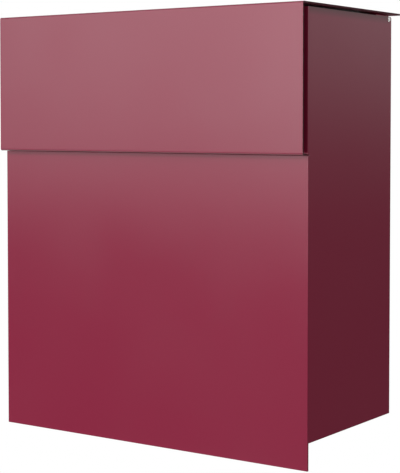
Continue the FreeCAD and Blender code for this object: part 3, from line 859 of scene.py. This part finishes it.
@dataclass
class SubAssembly:
    """What every sub-assembly has: the body that it rides on and the workshop that coats it."""

    workshop: Workshop
    body: Body = Body.CASE
    made: list[str] = field(default_factory=list)

    def dress(self, node: str, finish: Finish) -> None:
        """Gives a CAD node its finish where it stands.

        Args:
            node: the node's name.
            finish: its finish.
        """
        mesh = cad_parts[node].data
        mesh.materials.clear()
        mesh.materials.append(self.workshop.coat(finish))
        self.made.append(node)

    def set_in(
        self,
        name: str,
        shape: bmesh.types.BMesh,
        finish: Finish,
        slot: Slot,
        replaces: Sequence[str] = (),
    ) -> None:
        """Makes a finished shape a piece of this sub-assembly.

        Args:
            name: the piece's name.
            shape: its mesh in place, which is used up.
            finish: its finish.
            slot: the record's slot that the finish comes from; not used.
            replaces: the CAD nodes that it stands for.
        """
        mesh = bpy.data.meshes.new(name)
        shape.to_mesh(mesh)
        shape.free()
        mesh.shade_smooth()
        mesh.set_sharp_from_angle(angle=SMOOTH_ANGLE)
        mesh.materials.append(self.workshop.coat(finish))
        piece = bpy.data.objects.new(name, mesh)
        bpy.context.scene.collection.objects.link(piece)
        level = piece.modifiers.new("level_faces", "WEIGHTED_NORMAL")
        level.mode, level.weight, level.keep_sharp = "FACE_AREA", 100, True
        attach(piece, self.body.value)
        if replaces:
            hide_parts(*replaces)
        self.made.append(name)

    def soften(self, node: str, width: float, finish: Finish, slot: Slot) -> None:
        """Replaces a CAD node by a copy with rounded edges, or dresses it where that can't be done.

        Args:
            node: the node's name.
            width: the rounding, in millimetres.
            finish: its finish.
            slot: the record's slot that the finish comes from.
        """
        shape = softened(node, width * MM)
        if shape is None:
            self.dress(node, finish)
            return
        self.set_in(f"{node}_coated", shape, finish, slot, [node])

    def report(self) -> None:
        """Logs what was made."""
        LOG.info("%s: %s", type(self).__name__, ", ".join(self.made))


# Sub-assemblies


@dataclass
class FoldedCase(SubAssembly):
    """The fixed case: folded sheets, rivets, buffers and wall spacers. Sizes are in millimetres."""

    rounding: float = 0.22
    spacer_rounding: float = 0.5
    rivet_sides: int = 28
    rivet_radius: float = 3.0
    rivet_head: float = 0.8
    rivet_bore: float = 0.95
    guard_rivets: tuple[float, ...] = (-120.0, -37.5, 37.5, 120.0)
    hinge_rivets: tuple[float, ...] = (-109.0, -97.0, 97.0, 109.0)
    buffer_radius: float = 4.0
    buffer_wall: float = 0.35
    buffer_sides: int = 36
    crown_steps: int = 10
    bracket_welds: WeldRow = WeldRow((150.0, -159.0, 71.3), (0.0, 0.0, 21.0), 2)
    # Painted shade on the outer side walls just under the lid's edge, where the lid shades them.
    painted_shade_under_lid: ShadeBand = ShadeBand((0.0, 0.0, 1.0), 166.8, 174.4, 159.3, (0.09, 0.013, 0.018))

    def build(self) -> None:
        """Builds and dresses every piece of the case."""
        sheets = ("base_tray", "front_header", "inner_roof", "mail_guard")
        for node in sheets + ("hinge_bracket_left", "hinge_bracket_right"):
            self.soften(node, self.rounding, PAINT, Slot.PAINT)
        shaded = PowderCoat("red_powder_coat_walls_painted_shade", shade_bands=(self.painted_shade_under_lid,))
        self.soften("body_shell", self.rounding, shaded, Slot.PAINT)
        welded = PowderCoat("red_powder_coat_bracket", welds=self.bracket_welds)
        for node in ("header_bracket_left", "header_bracket_right"):
            self.soften(node, self.rounding, welded, Slot.PAINT)
        for row in ("lower", "upper"):
            for side in ("left", "right"):
                self.soften(f"wall_spacer_{row}_{side}", self.spacer_rounding, PLASTIC, Slot.PLASTIC)
        self.set_rivets("guard_rivets", self.guard_rivets)
        self.set_rivets("hinge_rivets", self.hinge_rivets)
        for side in ("left", "right"):
            self.stick_buffer(f"lid_buffer_{side}")
        self.report()

    def set_rivets(self, node: str, across: Sequence[float]) -> None:
        """Makes a row of blind rivets: a domed head with a hollow, and a pulled bulb behind.

        Args:
            node: the CAD node that the row stands for.
            across: where the rivets are from side to side, in millimetres.
        """
        low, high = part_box(node)
        length = (high.z - low.z) / MM
        grip = length - self.rivet_head
        head, bore = self.rivet_radius, self.rivet_bore
        profile = [
            (0.0, length - 0.55),
            (bore - 0.25, length - 0.5),
            (bore - 0.1, length - 0.75),
            (bore, length - 0.1),
            (bore + 0.15, length),
            (0.60 * head, length - 0.08),
            (0.85 * head, length - 0.32),
            (head, length - 0.62),
            (head - 0.05, grip),
            (0.55 * head, grip),
            (0.55 * head, self.rivet_head),
            (0.84 * head, self.rivet_head - 0.02),
            (0.88 * head, 0.55 * self.rivet_head),
            (0.70 * head, 0.2 * self.rivet_head),
            (0.35 * head, 0.08),
            (0.30 * head, 0.0),
            (0.0, 0.02),
        ]
        middle = (low.y + high.y) / 2
        feet = [Vector((MM * place, middle, low.z)) for place in across]
        rivets = [spun(profile, foot, UP, self.rivet_sides) for foot in feet]
        self.set_in(f"{node}_set", joined(rivets), STEEL, Slot.STEEL, [node])

    def stick_buffer(self, node: str) -> None:
        """Makes one soft buffer with a crowned top.

        Args:
            node: the CAD node that it stands for.
        """
        low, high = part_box(node)
        height = (high.z - low.z) / MM
        radius = self.buffer_radius
        wall = self.buffer_wall * height
        crown = [
            (radius * math.cos(turn), wall + (height - wall) * math.sin(turn))
            for turn in (math.radians(90 / self.crown_steps * step) for step in range(self.crown_steps))
        ]
        profile = [(0.0, 0.0), (radius - 0.15, 0.0), (radius, 0.15), *crown, (0.0, height)]
        foot = Vector(((low.x + high.x) / 2, (low.y + high.y) / 2, low.z))
        shape = spun(profile, foot, UP, self.buffer_sides)
        self.set_in(f"{node}_crowned", shape, RUBBER, Slot.RUBBER, [node])


@dataclass
class SwingLid(SubAssembly):
    """The lid: one folded panel, two ears and their pins. Sizes are in millimetres."""

    body: Body = Body.LID
    rounding: float = 0.22
    pin_rounding: float = 0.12
    ear_welds: WeldRow = WeldRow((148.0, -40.0, 175.3), (0.0, 9.0, 0.0), 1)
    # Painted shade: the lid panel's cut ends darker and duller, as in the shade of the gaps beside them.
    painted_shade_cut_ends: ShadeBand = ShadeBand((1.0, 0.0, 0.0), 159.7, 159.88, 0.0, (0.058, 0.004, 0.011), 0.8)
    # Painted shade on the downward-facing bend at the foot of the skirt.
    painted_shade_foot_bend: ShadeBand = ShadeBand((0.0, 0.0, -1.0), -57.6, -56.6, 0.0, (0.15, 0.024, 0.040))

    def build(self) -> None:
        """Builds and dresses every piece of the lid."""
        shaded = PowderCoat("red_powder_coat_lid_painted_shade", shade_bands=(self.painted_shade_foot_bend, self.painted_shade_cut_ends))
        self.soften("lid_panel", self.rounding, shaded, Slot.PAINT)
        welded = PowderCoat("red_powder_coat_ear", welds=self.ear_welds)
        for side in ("left", "right"):
            self.soften(f"lid_ear_{side}", self.rounding, welded, Slot.PAINT)
            self.soften(f"lid_pin_{side}", self.pin_rounding, PIN_STEEL, Slot.STEEL)
        self.report()


@dataclass
class DropDoor(SubAssembly):
    """The door: a flat panel, its stiffeners, letter catcher and hinge lugs. Sizes are in millimetres."""

    body: Body = Body.DOOR
    rounding: float = 0.25
    pin_rounding: float = 0.12
    stile_welds: WeldRow = WeldRow((148.0, -158.6, -147.0), (0.0, 0.0, 45.0), 4)
    rail_welds: WeldRow = WeldRow((20.0, -158.6, 48.1), (42.0, 0.0, 0.0), 3)
    catcher_welds: WeldRow = WeldRow((18.0, -158.6, -144.7), (38.0, 0.0, 0.0), 3)

    def build(self) -> None:
        """Builds and dresses every piece of the door."""
        self.soften("door_panel", self.rounding, PAINT, Slot.PAINT)
        welded = {
            "door_top_rail": self.rail_welds,
            "door_stile_left": self.stile_welds,
            "door_stile_right": self.stile_welds,
            "letter_catcher": self.catcher_welds,
        }
        for node, row in welded.items():
            self.soften(node, self.rounding, PowderCoat(f"red_powder_coat_{node}", welds=row), Slot.PAINT)
        for side in ("left", "right"):
            self.soften(f"door_lug_{side}", self.rounding, PAINT, Slot.PAINT)
            self.soften(f"door_pin_{side}", self.pin_rounding, STEEL, Slot.STEEL)
        self.report()


@dataclass
class CamLock(SubAssembly):
    """The cam lock: threaded housing, nut, plug with its wafers, cam and screw. Sizes are in millimetres."""

    body: Body = Body.LOCK
    face: Vector = field(init=False)
    steps: int = 64
    rim: float = 1.8
    rim_radius: float = 9.5
    barrel_radius: float = 8.0
    barrel_length: float = 14.0
    bore: float = 5.6
    pitch: float = 1.0
    thread: float = 0.42
    thread_start: float = 0.9
    thread_room: float = 1.6
    nut_bore: float = 8.05
    nut_sides: int = 6
    nut_chamfer: float = 0.75
    nut_bore_chamfer: float = 0.5
    plug_rounding: float = 0.08
    cam_rounding: float = 0.2
    wafers: int = 4
    wafer_start: float = 1.2
    wafer_pitch: float = 1.5
    wafer_half_width: float = 0.66
    wafer_depth: float = 0.55
    wafer_reach: tuple[float, float] = (0.9, 3.2)
    wafer_rounding: float = 0.1
    screw_sides: int = 40
    screw_turns: int = 9
    screw_pitch: float = 0.5
    screw_shank: float = 1.9
    screw_root: float = 1.6
    screw_head: float = 3.8
    screw_head_height: float = 2.0
    recess: float = 1.3
    recess_tip: float = 0.25
    recess_arm: float = 2.6
    recess_slimness: float = 0.24

    def build(self) -> None:
        """Builds and dresses every piece of the lock."""
        low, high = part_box("lock_housing")
        self.face = Vector((0.0, low.y + self.rim * MM, (low.z + high.z) / 2))
        self.cut_housing()
        self.cut_nut()
        self.soften("lock_plug", self.plug_rounding, CHROME, Slot.CHROME)
        self.soften("lock_cam", self.cam_rounding, STEEL, Slot.STEEL)
        self.stack_wafers()
        self.turn_screw()
        self.report()

    def fixed(self) -> SubAssembly:
        """The part of the lock that stays with the case."""
        return SubAssembly(self.workshop, Body.CASE, self.made)

    def cut_housing(self) -> None:
        """Turns the housing with its rim and thread."""
        ring, end = self.barrel_radius, self.barrel_length
        profile = [
            (self.bore, -self.rim + 0.35),
            (self.bore + 0.35, -self.rim),
            (self.rim_radius - 0.7, -self.rim),
            (self.rim_radius - 0.25, -self.rim + 0.12),
            (self.rim_radius, -self.rim + 0.5),
            (self.rim_radius, -0.1),
            (self.rim_radius - 0.1, 0.0),
            (ring, 0.0),
        ]
        root = ring - self.thread
        for turn in range(int((end - self.thread_room) / self.pitch)):
            crest = self.thread_start + turn * self.pitch
            profile += [(ring, crest), (root, crest + 0.45), (root, crest + 0.55)]
        profile += [(ring, end - 0.6), (ring - 0.5, end), (self.bore, end)]
        shape = spun(profile, self.face, INWARDS, self.steps, closed=True)
        self.fixed().set_in("lock_housing_threaded", shape, CHROME, Slot.CHROME, ["lock_housing"])

    def cut_nut(self) -> None:
        """Makes the hexagon nut with chamfered corners and bore."""
        low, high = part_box("lock_nut")
        depth = (high.y - low.y) / MM
        corner = (high.x - low.x) / MM / 2
        back = Vector((self.face.x, low.y, self.face.z))
        lay = Matrix.Translation(back + Vector((0, depth * MM / 2, 0)))
        lay @= Euler((math.radians(90), 0, 0)).to_matrix().to_4x4()
        half_side = math.pi / self.nut_sides
        hexagon = bmesh.new()
        bmesh.ops.create_cone(
            hexagon,
            cap_ends=True,
            segments=self.nut_sides,
            radius1=corner * MM,
            radius2=corner * MM,
            depth=depth * MM,
            matrix=lay @ Matrix.Rotation(half_side, 4, "Z"),
        )
        flat = corner * math.cos(half_side)
        chamfer = self.nut_chamfer
        envelope = [
            (0.0, -0.01),
            (flat - 0.3, -0.01),
            (corner + 0.2, chamfer),
            (corner + 0.2, depth - chamfer),
            (flat - 0.3, depth + 0.01),
            (0.0, depth + 0.01),
        ]
        shape = carved(hexagon, spun(envelope, back, INWARDS, self.steps), Carve.KEEP_SHARED)
        bore, chamfer = self.nut_bore, self.nut_bore_chamfer
        drill = [
            (0.0, -1.0),
            (bore + chamfer, -1.0),
            (bore + chamfer, 0.05),
            (bore, chamfer),
            (bore, depth - chamfer),
            (bore + chamfer, depth - 0.05),
            (bore + chamfer, depth + 1.0),
            (0.0, depth + 1.0),
        ]
        shape = carved(shape, spun(drill, back, INWARDS, self.steps), Carve.TAKE_AWAY)
        self.fixed().set_in("lock_nut_chamfered", shape, STEEL, Slot.STEEL, ["lock_nut"])

    def stack_wafers(self) -> None:
        """Makes the thin wafers that show inside the key slot."""
        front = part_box("lock_plug")[0].y
        half, (near_z, far_z) = self.wafer_half_width * MM, self.wafer_reach
        leaves = []
        for place in range(self.wafers):
            near = front + (self.wafer_start + place * self.wafer_pitch) * MM
            low_z, high_z = (-far_z, -near_z) if place % 2 else (near_z, far_z)
            low = Vector((-half, near, self.face.z + low_z * MM))
            high = Vector((half, near + self.wafer_depth * MM, self.face.z + high_z * MM))
            leaves.append(block(low, high, self.wafer_rounding * MM))
        self.set_in("key_wafers", joined(leaves), STEEL, Slot.STEEL)

    def turn_screw(self) -> None:
        """Turns the cam screw and presses the cross recess into its head."""
        low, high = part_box("cam_screw")
        foot = Vector((self.face.x, low.y, self.face.z))
        length = (high.y - low.y) / MM
        seat, radius = length - self.screw_head_height, self.screw_head
        shank, root = self.screw_shank, self.screw_root
        profile = [(0.0, 0.0), (1.5, 0.0), (shank, 0.35)]
        for turn in range(self.screw_turns):
            level = 0.6 + self.screw_pitch * turn
            profile += [(shank, level), (root, level + 0.22), (root, level + 0.28)]
        profile += [
            (shank, seat - 0.4),
            (shank, seat),
            (radius - 0.1, seat),
            (radius, seat + 0.15),
            (radius, seat + 0.7),
            (0.93 * radius, seat + 1.25),
            (0.78 * radius, seat + 1.65),
            (0.5 * radius, seat + 1.92),
            (0.0, length),
        ]
        screw = spun(profile, foot, INWARDS, self.screw_sides)
        for turn in (0.0, 90.0):
            arm = bmesh.new()
            bmesh.ops.create_cone(
                arm,
                cap_ends=True,
                segments=4,
                radius1=self.recess_tip * MM,
                radius2=self.recess_arm * MM,
                depth=2.0 * self.recess * MM,
                matrix=Matrix.Rotation(math.radians(45), 4, "Z"),
            )
            bmesh.ops.scale(arm, vec=(1.0, self.recess_slimness, 1.0), verts=arm.verts)
            stand = Matrix.Translation(foot + Vector((0, length * MM, 0)))
            stand @= Euler((math.radians(-90), 0, 0)).to_matrix().to_4x4()
            stand @= Matrix.Rotation(math.radians(turn), 4, "Z")
            bmesh.ops.transform(arm, matrix=stand, verts=arm.verts)
            screw = carved(screw, arm, Carve.TAKE_AWAY)
        self.set_in("cam_screw_turned", screw, STEEL, Slot.STEEL, ["cam_screw"])


# Studio


@dataclass(frozen=True)
class Lamp:
    """An upright rectangular lamp that faces the post box.

    Attributes:
        name: its name.
        reach: what it lights.
        radiance: how bright its face is.
        azimuth: where it hangs, in degrees to the right of straight ahead of the door.
        distance: how far away it hangs, in metres.
        low: the height of its lower edge, in metres.
        size: its width and height, in metres.
    """

    name: str
    reach: Reach
    radiance: float
    azimuth: float
    distance: float
    low: float
    size: tuple[float, float]

    def hang(self) -> None:
        """Hangs the lamp."""
        width, height = self.size
        data = bpy.data.lights.new(self.name, "AREA")
        data.shape = "RECTANGLE"
        data.size, data.size_y = width, height
        data.energy = self.radiance * math.pi * width * height
        lamp = bpy.data.objects.new(self.name, data)
        turn = math.radians(self.azimuth)
        ahead, level = self.distance * math.cos(turn), self.low + height / 2
        lamp.location = (self.distance * math.sin(turn), -ahead, level)
        lamp.rotation_euler = Euler((math.radians(90), 0.0, turn))
        lamp.visible_diffuse = self.reach is Reach.PAINT
        lamp.visible_glossy = self.reach is Reach.SHEEN
        bpy.context.scene.collection.objects.link(lamp)


@dataclass(frozen=True)
class Studio:
    """Camera, plain floor, soft lamps and white surroundings.

    Attributes:
        eye: the camera's place, in millimetres.
        yaw: how far the camera turns to its left from facing the door, in degrees.
        pitch: how far it looks down, in degrees.
        focal_pixels: its focal length, in pixels of the photograph.
        image_height: the photograph's height, in pixels.
        sensor: the width of its sensor, in millimetres.
        shift: how far its view is shifted up, as a share of its longer side.
        view_reach: how far it sees, in metres.
        floor_level: the floor's height, in millimetres.
        floor_reach: half the floor's side, in metres.
        floor_grey: the floor's colour.
        floor_gloss: how bright the floor looks in a reflection.
        world_paint: how bright the surroundings light the paint.
        world_low: how bright they look in a reflection below the horizon.
        world_high: how bright they look in a reflection above it.
        horizon: the heights between which they change.
        lamps: the lamps; two light only the sheen and two only the paint.
    """

    eye: tuple[float, float, float] = (711.32, -1104.99, 83.69)
    yaw: float = 34.797
    pitch: float = 2.260
    focal_pixels: float = 1382.2
    image_height: int = 473
    sensor: float = 36.0
    shift: float = -0.13
    view_reach: float = 60.0
    floor_level: float = -1150.0
    floor_reach: float = 1.6
    floor_grey: float = 0.55
    floor_gloss: float = 1.7
    world_paint: float = 0.422
    world_low: float = 0.068
    world_high: float = 0.792
    horizon: tuple[float, float] = (-0.03, 0.07)
    lamps: tuple[Lamp, ...] = (
        Lamp("front_sheen", Reach.SHEEN, 2.42, -23.0, 3.0, -0.12, (2.6, 2.4)),
        Lamp("strip_sheen", Reach.SHEEN, 1.63, -15.0, 2.9, -0.12, (1.3, 2.4)),
        Lamp("high_paint", Reach.PAINT, 6.5, -12.0, 3.0, 0.9, (1.6, 1.2)),
        Lamp("low_paint", Reach.PAINT, 1.8, -5.0, 1.1, -1.0, (1.2, 0.6)),
    )

    def build(self) -> None:
        """Sets up everything round the post box."""
        self.place_camera()
        self.lay_floor()
        self.light_world()
        for lamp in self.lamps:
            lamp.hang()
        bpy.context.scene.view_settings.view_transform = "Standard"

    def place_camera(self) -> None:
        """Places the camera at the photograph's viewing angle."""
        data = bpy.data.cameras.new("camera")
        data.sensor_width = self.sensor
        data.lens = self.focal_pixels * self.sensor / self.image_height
        data.shift_y = self.shift
        data.clip_end = self.view_reach
        camera = bpy.data.objects.new("camera", data)
        camera.location = MM * Vector(self.eye)
        camera.rotation_euler = Euler((math.radians(90 - self.pitch), 0.0, math.radians(self.yaw)))
        bpy.context.scene.collection.objects.link(camera)
        bpy.context.scene.camera = camera

    def lay_floor(self) -> None:
        """Lays a plain pale floor that shows white to the camera."""
        material = bpy.data.materials.new("pale_floor")
        material.use_nodes = True
        material.node_tree.nodes.clear()
        wiring = Wiring(material.node_tree)
        seen = wiring.add("ShaderNodeLightPath").outputs
        pale = wiring.add("ShaderNodeBsdfDiffuse", {"Color": (*(self.floor_grey,) * 3, 1.0)})
        level = wiring.math("MULTIPLY_ADD", seen["Is Glossy Ray"], self.floor_gloss - 1.0, 1.0)
        white = wiring.add("ShaderNodeEmission", {"Color": WHITE, "Strength": level})
        bright = wiring.math("MAXIMUM", seen["Is Camera Ray"], seen["Is Glossy Ray"])
        mixed = wiring.add("ShaderNodeMixShader", {0: bright, 1: pale.outputs[0], 2: white.outputs[0]})
        wiring.add("ShaderNodeOutputMaterial", {"Surface": mixed.outputs[0]})
        shape = bmesh.new()
        bmesh.ops.create_grid(shape, x_segments=1, y_segments=1, size=self.floor_reach)
        bmesh.ops.translate(shape, vec=(0.0, 0.0, self.floor_level * MM), verts=shape.verts)
        mesh = bpy.data.meshes.new("floor")
        shape.to_mesh(mesh)
        shape.free()
        mesh.materials.append(material)
        floor = bpy.data.objects.new("floor", mesh)
        bpy.context.scene.collection.objects.link(floor)

    def light_world(self) -> None:
        """Makes the surroundings white to the camera, pale over dark to gloss, and plain to the rest."""
        world = bpy.data.worlds.new("studio")
        world.use_nodes = True
        world.node_tree.nodes.clear()
        wiring = Wiring(world.node_tree)
        ray = wiring.add("ShaderNodeTexCoord").outputs["Generated"]
        height = wiring.add("ShaderNodeSeparateXYZ", {0: ray}).outputs["Z"]
        glow = wiring.spread(height, self.world_low, self.world_high, *self.horizon)
        seen = wiring.add("ShaderNodeLightPath").outputs
        plain, gloss, clear = (
            wiring.add("ShaderNodeBackground", {"Color": WHITE, "Strength": strength}).outputs[0]
            for strength in (self.world_paint, glow, 1.0)
        )
        first = wiring.add("ShaderNodeMixShader", {0: seen["Is Glossy Ray"], 1: plain, 2: gloss})
        direct = wiring.math("MAXIMUM", seen["Is Camera Ray"], seen["Is Transmission Ray"])
        second = wiring.add("ShaderNodeMixShader", {0: direct, 1: first.outputs[0], 2: clear})
        wiring.add("ShaderNodeOutputWorld", {"Surface": second.outputs[0]})
        bpy.context.scene.world = world


def main() -> None:
    """Builds the post box's looks and the studio."""
    logging.basicConfig(level=logging.INFO, format="%(name)s %(message)s")
    workshop = Workshop()
    for part in (FoldedCase(workshop), SwingLid(workshop), DropDoor(workshop), CamLock(workshop)):
        part.build()
    Studio().build()


if __name__ == "__main__":
    main()
